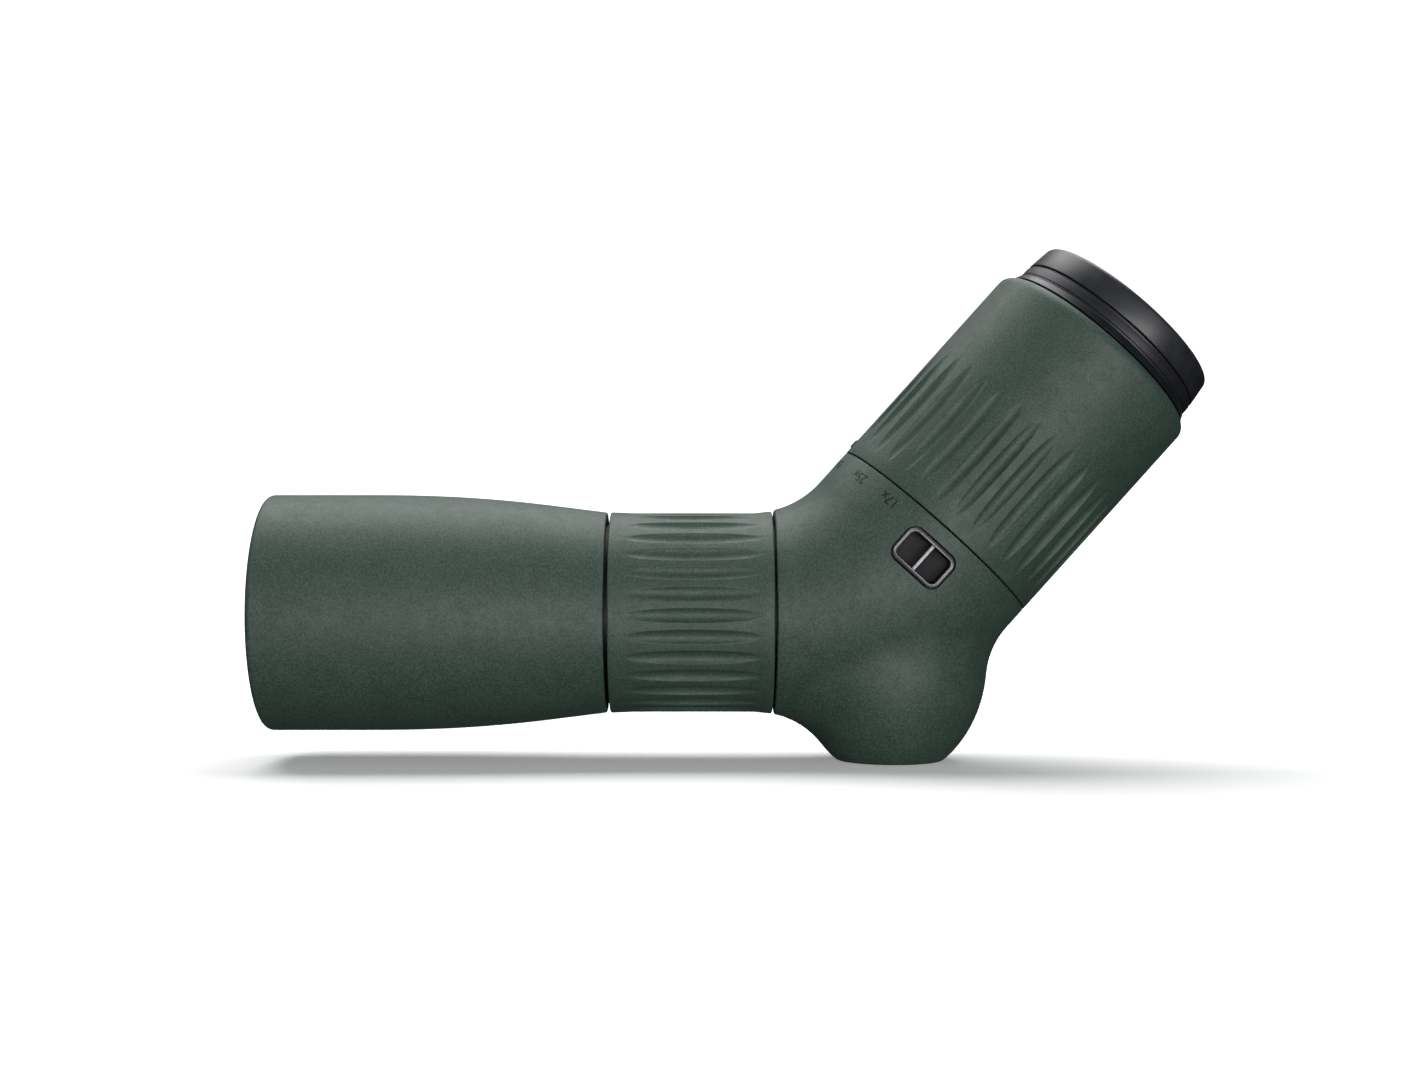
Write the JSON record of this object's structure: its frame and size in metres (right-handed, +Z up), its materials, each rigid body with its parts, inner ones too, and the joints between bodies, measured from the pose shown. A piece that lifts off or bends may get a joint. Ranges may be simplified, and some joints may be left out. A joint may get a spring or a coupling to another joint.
{
  "type": "angled spotting scope",
  "caption": "Compact angled spotting scope: armoured barrel with a focus ring, an elbow housing with a tripod foot and strap lugs, a zoom ring and a twist-up eyecup.",
  "frame": {"origin": "centre of the foot's flat underside, at the mouth of the tripod thread", "axes": "+Z up, -X along the barrel towards the objective, XZ the plane of symmetry of the outside"},
  "size_m": [0.2776, 0.0706, 0.152],
  "materials": {
    "green_armour": "fine matte grain",
    "black_anodised": "black anodised",
    "bare_aluminium": "machined",
    "cast_alloy": "cast",
    "steel": "turned",
    "satin_metal": "satin grey",
    "coated_glass": "coated",
    "clear_glass": "polished",
    "seal_rubber": "smooth",
    "gloss_black": "gloss",
    "satin_black": "satin",
    "cup_rubber": "satin"
  },
  "bodies": {
    "housing": {"objective_armour": "green_armour", "objective_tube": "black_anodised", "objective_cell": "black_anodised", "crown_lens": "coated_glass", "lens_spacer": "black_anodised", "flint_lens": "clear_glass", "objective_retainer": "black_anodised", "objective_seal": "seal_rubber", "light_baffle": "black_anodised", "guide_tube": "black_anodised", "focus_seals": "seal_rubber", "prism_housing": "cast_alloy", "fill_screw": "steel", "housing_armour": "green_armour", "foot_plate": "black_anodised", "foot_screws": "steel", "tripod_bush": "steel", "roof_prism": "clear_glass", "prism_cage": "bare_aluminium", "prism_clamp": "steel", "prism_screws": "steel", "eyepiece_tube": "black_anodised", "zoom_seal": "seal_rubber", "field_stop": "black_anodised", "eye_lens_cell": "black_anodised", "eye_lens_seal": "seal_rubber", "eye_lens_inner": "clear_glass", "eye_lens_spacer": "black_anodised", "eye_lens_outer": "coated_glass", "eye_lens_bezel": "black_anodised", "collar_ring": "gloss_black", "eyecup_base": "satin_black", "eyecup_guide_pin": "steel", "strap_frame_left": "satin_metal", "strap_pocket_left": "satin_black", "strap_bar_left": "steel", "strap_frame_right": "satin_metal", "strap_pocket_right": "satin_black", "strap_bar_right": "steel"},
    "focus_ring": {"focus_ring_grip": "green_armour", "focus_ring_core": "black_anodised"},
    "focus_carriage": {"focus_carriage": "bare_aluminium", "focusing_lens": "clear_glass", "focus_lens_retainer": "black_anodised", "focus_pins": "steel"},
    "zoom_ring": {"zoom_ring_grip": "green_armour", "zoom_cam_ring": "black_anodised"},
    "field_group": {"field_carrier": "bare_aluminium", "field_lens": "clear_glass", "field_pins": "steel"},
    "variator_group": {"variator_carrier": "bare_aluminium", "variator_lens": "clear_glass", "variator_pins": "steel"},
    "eyecup_slider": {"eyecup_key_ring": "satin_black"},
    "eyecup": {"eyecup_sleeve": "satin_black", "eyecup_rubber": "cup_rubber"}
  },
  "joints": [
    {"name": "focus_turn", "type": "hinge", "parent": "housing", "child": "focus_ring", "pos_m": [-0.059, 0, 0.044], "axis": [1, 0, 0], "range_deg": [-150, 150]},
    {"name": "focus_slide", "type": "slide", "parent": "housing", "child": "focus_carriage", "axis": [1, 0, 0], "range_m": [-0.00601, 0.00601]},
    {"name": "zoom_turn", "type": "hinge", "parent": "housing", "child": "zoom_ring", "pos_m": [0.0369, 0, 0.09453], "axis": [0.6691, 0, 0.7431], "range_deg": [-6.2, 59.4]},
    {"name": "field_slide", "type": "slide", "parent": "housing", "child": "field_group", "axis": [0.6691, 0, 0.7431], "range_m": [-0.00415, 0.00043]},
    {"name": "variator_slide", "type": "slide", "parent": "housing", "child": "variator_group", "axis": [0.6691, 0, 0.7431], "range_m": [-0.00076, 0.00726]},
    {"name": "eyecup_slide", "type": "slide", "parent": "housing", "child": "eyecup_slider", "axis": [0.6691, 0, 0.7431], "range_m": [0, 0.009]},
    {"name": "eyecup_twist", "type": "hinge", "parent": "eyecup_slider", "child": "eyecup", "pos_m": [0.065, 0, 0.12575], "axis": [0.6691, 0, 0.7431], "range_deg": [0, 270]}
  ],
  "couplings": [
    {"joint": "focus_slide", "follows": "focus_turn", "m_per_rad": -0.0022918},
    {"joint": "field_slide", "follows": "zoom_turn", "m_per_rad": -0.004},
    {"joint": "variator_slide", "follows": "zoom_turn", "m_per_rad": 0.007},
    {"joint": "eyecup_slide", "follows": "eyecup_twist", "m_per_rad": 0.0019099}
  ]
}
